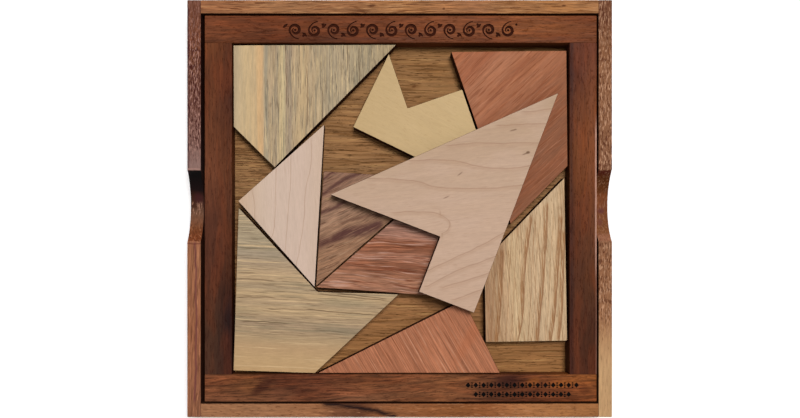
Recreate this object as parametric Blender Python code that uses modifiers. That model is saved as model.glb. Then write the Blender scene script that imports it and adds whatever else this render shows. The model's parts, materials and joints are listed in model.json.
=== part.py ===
"""A wooden packing puzzle: ten flat tiles lie loose in a framed tray, and the tray stands in an open case.

Run with: blender --background --python part.py

The origin is the centre of the case's underside. +X points right, +Y points to the back and +Z points up,
out of the tray. The ten tiles together have the area of a square of eight by eight units.
"""

import math

import bmesh
import bpy
from mathutils import Matrix, Vector

MM = 0.001
INCH = 0.0254

# Stock and clearances.
GAP = 0.3 * MM                              # left between two pieces that touch or are glued
STOCK = INCH / 4                            # case walls, tray board and tiles
PANEL_STOCK = INCH / 8                      # bottom panel of the case
EASE = 0.4 * MM                             # rounding of the sanded edges
EASE_STEPS = 2
SHARP_ANGLE = math.radians(30)              # edges sharper than this are rounded
OVERCUT = 10 * MM                           # a cutting bar sticks out this far at each end
WELD = 0.01 * MM                            # points of an outline closer than this are one
FLAT_ANGLE = math.radians(1)                # faces that meet flatter than this are one
MARKER_SIZE = 10 * MM                       # how large an empty is shown

# Tray.
POCKET = (157.0 * MM, 154.2 * MM)           # clear width and depth between the rails
POCKET_DEPTH = INCH * 5 / 16
RAIL = INCH / 2                             # width of every rail
TRAY = (POCKET[0] + 2 * RAIL, POCKET[1] + 2 * RAIL)
TRAY_SHIFT = 0.5 * MM                       # the tray stands a little to the right in its case

# Case.
TRAY_PLAY = (2.1 * MM, 1.3 * MM)            # total play of the tray in the case
RIM_RISE = 0.8 * MM                         # the case's rim stands above the tray's rails
INSIDE = (TRAY[0] + TRAY_PLAY[0], TRAY[1] + TRAY_PLAY[1])
CASE = (INSIDE[0] + 2 * STOCK, INSIDE[1] + 2 * STOCK)
RABBET = STOCK / 2                          # the panel reaches this far into the walls

# Finger notch in the rim of each side wall: the arc of a two inch circle, a quarter inch deep.
NOTCH_RADIUS = INCH
NOTCH_DEPTH = INCH / 4
NOTCH_Y = 1.3 * MM
NOTCH_SEGMENTS = 128

# Heights.
TRAY_UNDERSIDE = PANEL_STOCK + GAP
FLOOR = TRAY_UNDERSIDE + STOCK              # top of the tray board, the floor of the pocket
TRAY_TOP = FLOOR + POCKET_DEPTH
RIM = TRAY_TOP + RIM_RISE
LOWER_LAYER = FLOOR + GAP                   # underside of the tiles that lie on the floor
UPPER_LAYER = LOWER_LAYER + STOCK + GAP     # underside of the tile that lies on top of the others

# Tiles are cut on a grid of three quarter inch units.
UNIT = INCH * 3 / 4
ROOT2 = math.sqrt(2)
TILES = {
    # name: (outline in units, place of the outline's origin in mm, turn in degrees, wood)
    "tile_spalted_cut_triangle": (
        [(0, 0), (0, -2), (1, -3), (4, 0)], (-77.6, 76.4), 0.2, "spalted_maple"),
    "tile_maple_triangle": (
        [(0, 0), (-2, -2), (0, -4)], (-35.1, 39.4), -3.4, "maple"),
    "tile_spalted_pentagon": (
        [(0, 0), (0, -4), (2, -4), (4, -2), (2, -2)], (-75.2, 0.6), -1.8, "spalted_maple"),
    "tile_ash_trapezoid": (
        [(0, -2), (0, -4), (2, -4), (2, 0)], (38.9, 13.9), 1.0, "ash"),
    "tile_salmon_wedge": (
        [(0, 0), (ROOT2, -3 * ROOT2), (2 * ROOT2, -2 * ROOT2), (2 * ROOT2, 0)], (24.1, 73.3), 0.6, "salmon"),
    "tile_salmon_triangle": (
        [(0, 0), (0, -4), (2, 0)], (29.9, -42.6), -63.4, "salmon"),
    "tile_cream_notched": (
        [(0, 0), (4, 0), (2, 2), (1, 1), (0, 2)], (-21.7, 38.2), -26.0, "cream"),
    "tile_maple_arrowhead": (
        [(0, 0), (2, -2), (1, -3), (2, -4), (6, 0)], (-32.0, 6.1), 24.0, "maple"),
    "tile_walnut_triangle": (
        [(0, 0), (0, -2 * ROOT2), (2 * ROOT2, 0)], (-35.5, 17.6), -3.8, "walnut"),
    "tile_red_cut_triangle": (
        [(0, 0), (4, 0), (4, 2), (3, 3)], (-39.0, -36.7), -4.0, "red"),
}
ON_TOP = "tile_maple_arrowhead"

# Woods: base colour (linear), roughness.
WOODS = {
    "case_wood": ((0.30, 0.14, 0.07), 0.45),
    "panel_wood": ((0.42, 0.27, 0.14), 0.60),
    "rail_wood": ((0.16, 0.055, 0.025), 0.42),
    "oak": ((0.30, 0.16, 0.06), 0.50),
    "spalted_maple": ((0.50, 0.38, 0.24), 0.45),
    "maple": ((0.60, 0.42, 0.29), 0.45),
    "ash": ((0.55, 0.36, 0.18), 0.45),
    "salmon": ((0.42, 0.15, 0.08), 0.45),
    "cream": ((0.60, 0.42, 0.22), 0.45),
    "walnut": ((0.24, 0.12, 0.075), 0.45),
    "red": ((0.32, 0.12, 0.065), 0.45),
}


def clear_scene():
    for obj in list(bpy.data.objects):
        bpy.data.objects.remove(obj)


def new_collection(name):
    collection = bpy.data.collections.new(name)
    bpy.context.scene.collection.children.link(collection)
    return collection


def wood(name):
    """The material of one kind of wood, made once."""
    if name in bpy.data.materials:
        return bpy.data.materials[name]
    colour, roughness = WOODS[name]
    material = bpy.data.materials.new(name)
    material.use_nodes = True
    material.diffuse_color = (*colour, 1.0)
    shader = material.node_tree.nodes["Principled BSDF"]
    shader.inputs["Base Color"].default_value = (*colour, 1.0)
    shader.inputs["Roughness"].default_value = roughness
    shader.inputs["Metallic"].default_value = 0.0
    return material


def new_empty(name, location, collection):
    empty = bpy.data.objects.new(name, None)
    empty.location = location
    empty.empty_display_size = MARKER_SIZE
    collection.objects.link(empty)
    return empty


def place(obj, location, parent, collection):
    """Link an object and put it at a place in the world, as a child of an unturned empty."""
    collection.objects.link(obj)
    obj.parent = parent
    obj.location = Vector(location) - (parent.location if parent else Vector())
    return obj


def box(name, low, high, parent, collection, material=None):
    """A box between two corners, with its origin at its centre."""
    low, high = Vector(low), Vector(high)
    bm = bmesh.new()
    bmesh.ops.create_cube(bm, size=1.0, matrix=Matrix.Diagonal((*(high - low), 1.0)))
    mesh = bpy.data.meshes.new(name)
    bm.to_mesh(mesh)
    bm.free()
    if material:
        mesh.materials.append(wood(material))
    return place(bpy.data.objects.new(name, mesh), (low + high) / 2, parent, collection)


def as_cutter(obj):
    obj.hide_render = True
    obj.display_type = "WIRE"
    return obj


def cut(obj, cutter):
    boolean = obj.modifiers.new("cut_" + cutter.name, "BOOLEAN")
    boolean.operation = "DIFFERENCE"
    boolean.solver = "EXACT"
    boolean.object = cutter


def ease_edges(obj):
    """Round the sanded edges of a piece."""
    bevel = obj.modifiers.new("eased_edges", "BEVEL")
    bevel.width = EASE
    bevel.segments = EASE_STEPS
    bevel.limit_method = "ANGLE"
    bevel.angle_limit = SHARP_ANGLE


def make_panel_cutter(cutters):
    """The room for the bottom panel, which takes a rabbet out of each wall's inner lower edge."""
    half_x = INSIDE[0] / 2 + RABBET + GAP
    half_y = INSIDE[1] / 2 + RABBET + GAP
    low = (-half_x, -half_y, -PANEL_STOCK)
    high = (half_x, half_y, PANEL_STOCK + GAP)
    return as_cutter(box("panel_rabbet", low, high, None, cutters))


def make_notch_cutter(cutters):
    """A bar across the whole case whose lower side cuts a finger notch in both side walls."""
    bm = bmesh.new()
    lying = Matrix.Rotation(math.pi / 2, 4, "Y")
    bmesh.ops.create_cone(bm, cap_ends=True, segments=NOTCH_SEGMENTS, radius1=NOTCH_RADIUS,
                          radius2=NOTCH_RADIUS, depth=CASE[0] + 2 * OVERCUT, matrix=lying)
    mesh = bpy.data.meshes.new("finger_notches")
    bm.to_mesh(mesh)
    bm.free()
    bar = bpy.data.objects.new("finger_notches", mesh)
    place(bar, (0, NOTCH_Y, RIM + NOTCH_RADIUS - NOTCH_DEPTH), None, cutters)
    return as_cutter(bar)


def make_case(case, collection, cutters):
    """Two full length side walls, two end walls between them and a thin bottom panel in rabbets."""
    panel_cutter = make_panel_cutter(cutters)
    notch_cutter = make_notch_cutter(cutters)
    for side, sign in (("left", -1), ("right", 1)):
        inner, outer = sign * INSIDE[0] / 2, sign * CASE[0] / 2
        low = (min(inner, outer), -CASE[1] / 2, 0)
        high = (max(inner, outer), CASE[1] / 2, RIM)
        wall = box("case_wall_" + side, low, high, case, collection, "case_wood")
        cut(wall, panel_cutter)
        cut(wall, notch_cutter)
        ease_edges(wall)
    for side, sign in (("front", -1), ("back", 1)):
        inner, outer = sign * INSIDE[1] / 2, sign * CASE[1] / 2
        half = INSIDE[0] / 2 - GAP
        low = (-half, min(inner, outer), 0)
        high = (half, max(inner, outer), RIM)
        wall = box("case_wall_" + side, low, high, case, collection, "case_wood")
        cut(wall, panel_cutter)
        ease_edges(wall)
    half_x, half_y = INSIDE[0] / 2 + RABBET, INSIDE[1] / 2 + RABBET
    box("case_panel", (-half_x, -half_y, 0), (half_x, half_y, PANEL_STOCK), case, collection, "panel_wood")


def make_tray(tray, collection):
    """A board with four rails on it: the back and front rails run the full width, the others fit between."""
    x, (half_x, half_y) = tray.location.x, (TRAY[0] / 2, TRAY[1] / 2)
    board = box("tray_base", (x - half_x, -half_y, TRAY_UNDERSIDE), (x + half_x, half_y, FLOOR),
                tray, collection, "oak")
    ease_edges(board)
    bottom = FLOOR + GAP
    between = POCKET[1] / 2 - GAP
    rails = {
        "tray_rail_back": ((x - half_x, half_y - RAIL, bottom), (x + half_x, half_y, TRAY_TOP)),
        "tray_rail_front": ((x - half_x, -half_y, bottom), (x + half_x, RAIL - half_y, TRAY_TOP)),
        "tray_rail_left": ((x - half_x, -between, bottom), (x - half_x + RAIL, between, TRAY_TOP)),
        "tray_rail_right": ((x + half_x - RAIL, -between, bottom), (x + half_x, between, TRAY_TOP)),
    }
    for name, (low, high) in rails.items():
        ease_edges(box(name, low, high, tray, collection, "rail_wood"))


def flat_outline(name, points):
    """A closed outline of a tile, as a mesh one stock thick with its underside at z = 0."""
    curve = bpy.data.curves.new(name + "_outline", "CURVE")
    curve.dimensions = "2D"
    curve.fill_mode = "BOTH"
    curve.extrude = STOCK / 2
    spline = curve.splines.new("POLY")
    spline.points.add(len(points) - 1)
    for point, (x, y) in zip(spline.points, points):
        point.co = (x * UNIT, y * UNIT, 0, 1)
    spline.use_cyclic_u = True
    outline = bpy.data.objects.new(name + "_outline", curve)
    bpy.context.scene.collection.objects.link(outline)
    evaluated = outline.evaluated_get(bpy.context.evaluated_depsgraph_get())
    mesh = bpy.data.meshes.new_from_object(evaluated)
    bpy.data.objects.remove(outline)
    mesh.name = name
    bm = bmesh.new()
    bm.from_mesh(mesh)
    bmesh.ops.remove_doubles(bm, verts=bm.verts, dist=WELD)
    bmesh.ops.translate(bm, verts=bm.verts, vec=(0, 0, STOCK / 2))
    bmesh.ops.dissolve_limit(bm, angle_limit=FLAT_ANGLE, verts=bm.verts, edges=bm.edges)
    bmesh.ops.recalc_face_normals(bm, faces=bm.faces)
    bm.to_mesh(mesh)
    bm.free()
    return mesh


def make_tiles(tray, collection):
    for name, (points, (x, y), turn, kind) in TILES.items():
        mesh = flat_outline(name, points)
        mesh.materials.clear()
        mesh.materials.append(wood(kind))
        height = UPPER_LAYER if name == ON_TOP else LOWER_LAYER
        tile = place(bpy.data.objects.new(name, mesh), (x * MM, y * MM, height), tray, collection)
        tile.rotation_euler.z = math.radians(turn)
        ease_edges(tile)


def main():
    clear_scene()
    collection = new_collection("packing_puzzle")
    cutters = new_collection("cutters")
    case = new_empty("case", (0, 0, 0), collection)
    tray = new_empty("tray", (TRAY_SHIFT, 0, TRAY_UNDERSIDE), collection)
    make_case(case, collection, cutters)
    make_tray(tray, collection)
    make_tiles(tray, collection)


main()
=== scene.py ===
"""The looks of a wooden packing puzzle: ten loose tiles in a framed tray, which stands in an open case.

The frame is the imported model's, in metres: the origin is the centre of the case's underside, +X is right,
+Y is back and +Z is up. The woods and the engraving are laid out in millimetres in the same frame.
"""

import json
import math

import bmesh
import bpy
from mathutils import Matrix, Vector, noise

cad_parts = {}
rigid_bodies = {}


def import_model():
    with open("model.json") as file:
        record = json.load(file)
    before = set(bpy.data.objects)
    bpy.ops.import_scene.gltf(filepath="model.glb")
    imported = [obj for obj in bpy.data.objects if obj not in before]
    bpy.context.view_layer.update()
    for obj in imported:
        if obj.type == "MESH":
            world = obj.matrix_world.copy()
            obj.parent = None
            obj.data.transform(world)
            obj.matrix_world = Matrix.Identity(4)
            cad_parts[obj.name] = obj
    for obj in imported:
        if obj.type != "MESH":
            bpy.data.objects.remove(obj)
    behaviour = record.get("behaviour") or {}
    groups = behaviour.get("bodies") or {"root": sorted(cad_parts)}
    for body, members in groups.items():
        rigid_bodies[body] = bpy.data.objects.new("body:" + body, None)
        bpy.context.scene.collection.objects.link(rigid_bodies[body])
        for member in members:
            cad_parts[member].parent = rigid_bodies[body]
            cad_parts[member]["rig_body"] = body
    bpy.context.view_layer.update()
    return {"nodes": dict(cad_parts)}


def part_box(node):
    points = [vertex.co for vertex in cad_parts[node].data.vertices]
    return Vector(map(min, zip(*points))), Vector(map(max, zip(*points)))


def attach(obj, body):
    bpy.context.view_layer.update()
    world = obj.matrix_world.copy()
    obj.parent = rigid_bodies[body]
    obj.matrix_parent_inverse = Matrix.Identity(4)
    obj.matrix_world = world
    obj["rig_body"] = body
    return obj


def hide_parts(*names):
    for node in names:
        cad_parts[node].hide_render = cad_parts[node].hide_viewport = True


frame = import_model()
noise.seed_set(1)  # without a seed the unevenness would follow the clock

MM = 0.001
PER_METRE = 1000.0
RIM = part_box("case_wall_back")[1].z * PER_METRE

# Camera: straight down, as far above the rim as the picture's perspective says.
CAMERA_HEIGHT = 320 * MM
CAMERA_FOOT = (-11.5 * MM, -20.6 * MM)
FRAMED_CENTRE = (0.135 * MM, -0.23 * MM)
FRAMED_WIDTH = 371 * MM         # at the height of the rim
SENSOR = 36.0

# Light. LIGHT_LEVEL is what a level white surface of the object sends to the camera.
LIGHT_LEVEL = 1.16
HAZE = 0.011                    # and what its gloss adds to that
DARKEST = 0.002
KEY_POWER = 21.0
KEY_PLACE = (0.22, 0.40, 1.44)  # high, and a little to the back and right
KEY_SIZE = (0.6, 0.5)
FILL_POWER = 1.5
FILL_PLACE = (-0.4, -0.7, 1.1)
FILL_SIZE = (1.4, 1.0)
WORLD_LEVEL = 0.235
HORIZON_LEVEL = 0.62
BACKDROP_RISE = 0.35            # how far up the brighter horizon reaches
FLOOR_REACH = 3.0
FLOOR_DROP = 0.3 * MM           # keeps the case clear of the floor
FLOOR_GLOW = 0.22

# Surface of the wood: slow waves left by planing and finer ones left by sanding.
GRID = 4 * MM
PLANING = (28 * MM, 0.05 * MM)  # (length, height)
SANDING = (5 * MM, 0.025 * MM)
SMOOTH_ANGLE = math.radians(40)
SPECULAR = 0.08                 # low: oiled wood has a soft sheen only
BEVEL_STOP = 0.6                # a face whose normal rises less than this is a side
WELD = 0.002 * MM
SNAP = 0.001 * MM
FLAT_ANGLE = math.radians(0.5)

# Joints of the tray and the case, in millimetres.
EASED = 0.7                     # how far the eased edges reach at the most
GLUE_GAP = 0.26

# Grain of every wood, in millimetres.
NOISE_SPAN = (0.3, 0.7)         # nearly all values of the noise lie in here
SEED_STEP = 7.3                 # how far apart two woods and two layers lie in the noise
LAYER_STEP = 13.1
SHAKE_SIZE = 9.0                # growth lines tremble with noise of this size
STRAY_SIZE = (30, 4)            # colours stray below the rim in areas this long and wide
STRAY = 4.0
FINE_FIBRES = ((5.0, 0.3, 0.3), (3.5, 0.6, 0.0))  # (length, width, relief)
WEAR_AND_HIGHLIGHT_SIZE = (9.0, 3.0)          # edges are lighter, from wear and as painted highlight, in areas this long and wide
GLOSS_SIZE = (14.0, 2.0)
GLOSS_SPAN = (-0.05, 0.09)      # how far the roughness strays
PATCH_CORE = 0.3                # share of a soft oval's radius at full strength
# painted shade for the case walls' faces in the gap round the tray
INNER_FACE_SHADE = (44, 25, 17)
PLY = 1.06
RIDGE_SIZE = (0.5, 9)           # ridges of a scorched side, (width, height)

# Engraving, in millimetres and degrees.
ENGRAVING_DEPTH = 0.5
SCROLL_PITCH = 9.0
SCROLL_COUNT = 12
SCROLL_RADIUS = 2.7
SCROLL_STEPS = 56
SCROLL_TAIL = 0.2               # share of a stroke that comes before its curl
SCROLL_FLARE = 16               # how fast the tail leaves the circle
SCROLL_CURL = 0.62              # how much of its radius the curl loses
SCROLL_START = 205
SCROLL_TURN = 430
STROKE = (0.45, 0.95)           # width at a stroke's ends, and what its middle adds
DOT = (0.55, 0.55)
LEAF = (3.0, 1.3)
LEAF_TURN = 40
SCROLL_PLACES = ((0.4, 0.1), (-4.2, 2.0), (4.2, -2.6))  # eye, leaf, dot
BAND_DROP = 0.5                 # the band runs this far below its rail's middle
MARK_PITCH = 3.6
LOZENGE = (1.15, 1.3)
MARK_DOT = (0.45, 0.36)
MARK_DOT_STEP = 0.95
MARK_ROWS = (((56.5, 1.4), 15), ((56.5, -2.9), 13))  # (place from the rail's middle, lozenges)


# ---------- colours and nodes

def linear(channel):
    share = channel / 255
    return share / 12.92 if share <= 0.04045 else ((share + 0.055) / 1.055) ** 2.4


def tone(red, green, blue):
    """The paint that looks like this colour (sRGB, 0 to 255) on a level face in this light."""
    paint = ((linear(channel) - HAZE) / LIGHT_LEVEL for channel in (red, green, blue))
    return (*(max(DARKEST, channel) for channel in paint), 1.0)


class Graph:
    """A node material under construction. Values are numbers or node outputs."""

    def __init__(self, name):
        self.material = bpy.data.materials.new(name)
        self.material.use_nodes = True
        self.tree = self.material.node_tree
        self.shader = self.tree.nodes["Principled BSDF"]

    def node(self, kind, inputs, **settings):
        node = self.tree.nodes.new("ShaderNode" + kind)
        for key, value in settings.items():
            setattr(node, key, value)
        for key, value in inputs.items():
            self.put(value, node.inputs[key])
        return node

    def put(self, value, socket):
        if isinstance(value, bpy.types.NodeSocket):
            self.tree.links.new(value, socket)
        else:
            socket.default_value = value

    def math(self, operation, first, second=0.0):
        return self.node("Math", {0: first, 1: second}, operation=operation).outputs[0]

    def product(self, first, *others):
        for other in others:
            first = self.math("MULTIPLY", first, other)
        return first

    def vector(self, operation, first, second=(0, 0, 0), third=(0, 0, 0), output="Vector"):
        inputs = {0: first, 1: second, 2: third}
        return self.node("VectorMath", inputs, operation=operation).outputs[output]

    def scaled(self, vector, factor):
        return self.node("VectorMath", {0: vector, "Scale": factor}, operation="SCALE").outputs[0]

    def split(self, vector):
        return self.node("SeparateXYZ", {0: vector}).outputs

    def span(self, value, low, high, to_low=0.0, to_high=1.0, kind="LINEAR"):
        inputs = {"Value": value, "From Min": low, "From Max": high, "To Min": to_low, "To Max": to_high}
        return self.node("MapRange", inputs, interpolation_type=kind).outputs[0]

    def step(self, value, zero, one):
        """A smooth step from 0 at the value zero to 1 at the value one, in either direction."""
        return self.span(value, zero, one, kind="SMOOTHSTEP")

    def mix(self, share, first, second):
        return self.node("Mix", {0: share, 6: first, 7: second}, data_type="RGBA").outputs[2]

    def noise(self, vector, detail=2.0, roughness=0.5, coloured=False):
        inputs = {"Vector": vector, "Scale": 1.0, "Detail": detail, "Roughness": roughness}
        return self.node("TexNoise", inputs).outputs[1 if coloured else 0]

    def swing(self, vector, amount):
        """Noise that swings about zero."""
        return self.product(self.math("SUBTRACT", self.noise(vector, 2), 0.5), amount)

    def ramp(self, value, stops):
        """A colour that changes along a value, from (value, (red, green, blue)) stops in rising order."""
        low, high = stops[0][0], stops[-1][0]
        node = self.node("ValToRGB", {0: self.span(value, low, high)})
        elements = node.color_ramp.elements
        elements[-1].position = 1.0
        elements[-1].color = tone(*stops[-1][1])
        elements[0].color = tone(*stops[0][1])
        for place, colour in stops[1:-1]:
            elements.new((place - low) / (high - low)).color = tone(*colour)
        return node.outputs[0]


class Wood(Graph):
    """A piece of wood. `along` runs with the grain, `grain` degrees from +X, and `across` is to its left.

    tilt is how far a growth layer leans: it moves across for each millimetre below or above the level.
    """

    LINE_MARGIN = 6.0

    def __init__(self, name, grain, seed, tilt=0.25, drift=1.0, drift_length=40.0, wobble=1.0, level=17.0):
        super().__init__(name)
        self.seed = seed
        self.layers = 0
        self.relief = 0.0
        coordinates = self.node("TexCoord", {}).outputs
        self.normal = coordinates["Normal"]
        self.up = self.split(self.normal)[2]
        place = self.scaled(coordinates["Object"], PER_METRE)
        tremble = self.noise(self.scaled(place, 1 / SHAKE_SIZE), 2, 0.5, True)
        shake = self.vector("SUBTRACT", tremble, (0.5, 0.5, 0.5))
        self.place = self.vector("ADD", place, self.scaled(shake, 2 * wobble))
        turned = self.node("VectorRotate", {"Vector": place, "Angle": -math.radians(grain)},
                           rotation_type="Z_AXIS").outputs[0]
        self.along, side, self.height = self.split(turned)
        slow = self.vector("MULTIPLY_ADD", turned, (1 / drift_length, 3 / drift_length, 3 / drift_length),
                           (seed, 0, 0))
        sway = self.swing(slow, 4 * drift)
        lean = self.product(self.math("SUBTRACT", self.height, level), tilt)
        self.across = self.math("ADD", self.math("ADD", side, lean), sway)
        self.flow = self.node("CombineXYZ", {0: self.along, 1: self.across, 2: self.height}).outputs[0]

    # -- ground colour

    def plain(self, colour):
        node = self.node("RGB", {})
        node.outputs[0].default_value = tone(*colour)
        self.colour = node.outputs[0]

    def bands_across(self, *stops):
        self.colour = self.ramp(self.across, stops)

    def wandering(self):
        """The place along the grain, which strays more the deeper below the rim."""
        length, width = STRAY_SIZE
        size = (1 / length, 1 / width, 1 / width)
        slow = self.vector("MULTIPLY_ADD", self.flow, size, (self.seed, self.seed, 0))
        depth = self.math("SUBTRACT", RIM, self.height)
        return self.math("ADD", self.along, self.product(depth, self.swing(slow, STRAY)))

    def bands_along(self, *stops):
        self.colour = self.ramp(self.wandering(), stops)

    def edge_bands(self, low, low_stops, high, high_stops):
        """Colours that change along the grain, with one row of stops at each edge of the piece."""
        share = self.step(self.across, low, high)
        place = self.wandering()
        self.colour = self.mix(share, self.ramp(place, low_stops), self.ramp(place, high_stops))

    # -- grain

    def fibres(self, length, width, detail=3.0, roughness=0.6):
        """Noise drawn out along the grain. Each call takes another part of the noise."""
        self.layers += 1
        offset = self.seed * SEED_STEP + self.layers * LAYER_STEP
        at = self.vector("MULTIPLY_ADD", self.flow, (1 / length, 1 / width, 1 / width), (offset, offset, 0))
        return self.noise(at, detail, roughness)

    def streaks(self, length, width, strength, detail=3.0, relief=0.0, within=1.0):
        """Lighter and darker streaks. strength is the share by which they change the colour."""
        fibres = self.fibres(length, width, detail)
        lightness = self.span(fibres, *NOISE_SPAN, -strength, strength)
        self.colour = self.scaled(self.colour, self.math("ADD", self.product(lightness, within), 1.0))
        self.raise_by(fibres, relief)

    def threads(self, length, width, limit, colour, strength, soft=0.08, relief=0.0, within=1.0):
        """Separate marks with the grain, such as pores: the fewer, the higher the limit."""
        mask = self.product(self.step(self.fibres(length, width, 2.0), limit, limit + soft), within)
        self.stain(mask, colour, strength)
        self.raise_by(mask, -relief)

    def cloud(self, size, colour, strength, stretch=2.0):
        """Soft areas of another colour."""
        self.stain(self.step(self.fibres(size * stretch, size, 1.0), 0.45, 0.65), colour, strength)

    # -- figure

    def line_mask(self, points, width, fade):
        """1 on the middle of a line through a few points, 0 past its sides and its faded ends."""
        x, y, _ = self.split(self.place)
        wide = abs(points[-1][0] - points[0][0]) >= abs(points[-1][1] - points[0][1])
        run, rise = (x, y) if wide else (y, x)
        points = sorted(points if wide else [(b, a) for a, b in points])
        start, end = points[0][0], points[-1][0]
        low = min(point[1] for point in points) - self.LINE_MARGIN
        high = max(point[1] for point in points) + self.LINE_MARGIN
        node = self.node("FloatCurve", {"Value": self.span(run, start, end)})
        curve = node.mapping.curves[0]
        stops = [((a - start) / (end - start), (b - low) / (high - low)) for a, b in points]
        curve.points[0].location, curve.points[1].location = stops[0], stops[-1]
        for stop in stops[1:-1]:
            curve.points.new(*stop)
        node.mapping.update()
        centre = self.span(node.outputs[0], 0.0, 1.0, low, high)
        off = self.math("ABSOLUTE", self.math("SUBTRACT", rise, centre))
        ends = self.product(self.step(run, start - fade, start), self.step(run, end + fade, end))
        return self.product(self.step(off, width / 2, 0.0), ends)

    def line(self, points, width, colour, strength, fade=3.0, within=1.0):
        """A growth line: a soft smooth line through a few points."""
        self.stain(self.product(self.line_mask(points, width, fade), within), colour, strength)

    def patch(self, centre, radii, turn, colour, strength):
        """A soft oval area, turned by some degrees."""
        inputs = {"Vector": self.place, "Location": (*centre, 0), "Rotation": (0, 0, math.radians(turn)),
                  "Scale": (*radii, PER_METRE)}
        place = self.node("Mapping", inputs, vector_type="TEXTURE").outputs[0]
        radius = self.vector("LENGTH", place, output="Value")
        self.stain(self.step(radius, 1.0, PATCH_CORE), colour, strength)

    # -- parts of a case wall

    def on_top(self, elsewhere=0.0):
        """1 on the faces that look up."""
        return self.span(self.up, 0.3, 0.8, elsewhere, 1.0)

    def hollow(self, *stops):
        """Other colours, from front to back, in the finger notch: the part of the top below the rim."""
        mask = self.product(self.step(self.up, 0.1, 0.3), self.step(self.height, RIM - 0.1, RIM - 0.5))
        self.colour = self.mix(mask, self.colour, self.ramp(self.split(self.place)[1], stops))
        return mask

    def shade_inner_face(self, inward):
        """Painted shade: the face towards the tray, which stands in the gap round it, is darkened as if in
        shadow.
        """
        facing = self.vector("DOT_PRODUCT", self.normal, inward, output="Value")
        self.stain(self.step(facing, 0.55, 0.8), INNER_FACE_SHADE, 0.85)

    # -- surface

    def stain(self, mask, colour, strength):
        self.colour = self.mix(self.product(mask, strength), self.colour, tone(*colour))

    def raise_by(self, value, amount):
        if amount:
            self.relief = self.math("ADD", self.relief, self.product(value, amount))

    def finish(self, roughness=0.55, depth=0.06, edge=0.12, fine=0.08):
        """Fine fibre, rounded edges lighter from wear and as painted highlight, and the shader. depth is
        the relief's, in millimetres.
        """
        if fine:
            for length, width, relief in FINE_FIBRES:
                self.streaks(length, width, fine, 4.0, relief)
        rise = self.math("ABSOLUTE", self.up)
        rounded = self.product(self.step(rise, 0.25, 0.5), self.step(rise, 0.995, 0.93))
        # eased edges are made lighter: partly wear, partly a painted highlight where they would catch the
        # light
        wear_and_highlight = self.product(rounded, self.span(self.fibres(*WEAR_AND_HIGHLIGHT_SIZE), 0.35, 0.6, 0.4, 1.0))
        lighter = self.scaled(self.colour, 1.0 + 2 * edge)
        self.colour = self.mix(self.product(wear_and_highlight, 2 * edge), self.colour, lighter)
        smoothest, roughest = (roughness + stray for stray in GLOSS_SPAN)
        gloss = self.span(self.fibres(*GLOSS_SIZE), *NOISE_SPAN, smoothest, roughest)
        bump = self.node("Bump", {"Height": self.relief, "Distance": depth * MM, "Strength": 1.0})
        self.put(self.colour, self.shader.inputs["Base Color"])
        self.put(gloss, self.shader.inputs["Roughness"])
        self.put(bump.outputs[0], self.shader.inputs["Normal"])
        self.put(SPECULAR, self.shader.inputs["Specular IOR Level"])
        return self.material


# ---------- woods of the case

def case_left_wood():
    wood = Wood("case_left_wood", 88, 1.0, tilt=0.6, drift=0.8)
    wood.bands_along(
        (-92, (147, 97, 72)), (-60, (147, 95, 69)), (-25, (157, 105, 76)), (-16, (151, 97, 71)),
        (17, (140, 110, 102)), (28, (128, 94, 84)), (45, (116, 78, 66)), (62, (112, 72, 56)),
        (75, (124, 76, 56)), (92, (112, 72, 56)))
    # the notch darkens towards its back end, to near black there: painted shade of its steep back slope
    notch = wood.hollow(
        (-15.5, (116, 62, 40)), (-9, (112, 68, 46)), (-5, (120, 80, 60)), (-1, (106, 74, 58)),
        (1, (76, 48, 38)), (6, (62, 40, 33)), (9, (38, 27, 23)), (17, (28, 18, 16)))
    top = wood.on_top()
    off_top = wood.span(top, 0.0, 1.0, 1.0, 0.0)
    fading = wood.span(wood.along, 70, 92, 1.0, 0.3)
    back = wood.product(wood.step(wood.along, 12, 30), fading, wood.on_top(0.4))
    wood.threads(2.2, 0.5, 0.51, (184, 138, 124), 0.75, soft=0.1, within=back)
    wood.threads(2.4, 0.55, 0.5, (68, 32, 26), 0.85, soft=0.1, relief=1.0, within=back)
    wood.streaks(14, 0.9, 0.2, within=wood.step(wood.along, 55, 75))
    wood.line([(-98.2, 92), (-98.0, 60), (-98.2, 18)], 1.6, (62, 40, 50), 0.6, within=top)
    front = wood.step(wood.along, 0, -20)
    wood.streaks(16, 0.7, 0.4, within=front)
    wood.threads(12, 0.6, 0.6, (88, 48, 36), 0.7, relief=1.0, within=front)
    wood.threads(9.0, 0.7, 0.57, (186, 126, 92), 0.6, within=front)
    wood.line([(-95.2, -88), (-94.2, -60), (-94.6, -30), (-95.0, -17)], 1.6, (106, 58, 62), 0.75)
    from_middle = wood.math("ABSOLUTE", wood.math("ADD", wood.along, 3))
    scratched = wood.product(notch, wood.step(from_middle, 4, 2))
    wood.threads(3.0, 0.5, 0.5, (176, 130, 106), 0.7, within=scratched)
    wood.patch((-94.6, 5), (3, 4), 0, (74, 40, 44), 0.5)
    wood.line([(-99, 18.0), (-91, 18.0)], 1.3, (176, 136, 124), 0.8, within=top)
    wood.line([(-99, -16.2), (-91, -16.2)], 0.9, (92, 44, 42), 0.7, within=top)
    wood.threads(16, 0.6, 0.6, (84, 44, 34), 0.6, relief=1.0, within=off_top)
    wood.shade_inner_face((1, 0, 0))
    return wood.finish(depth=0.1, edge=0.15)


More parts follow.
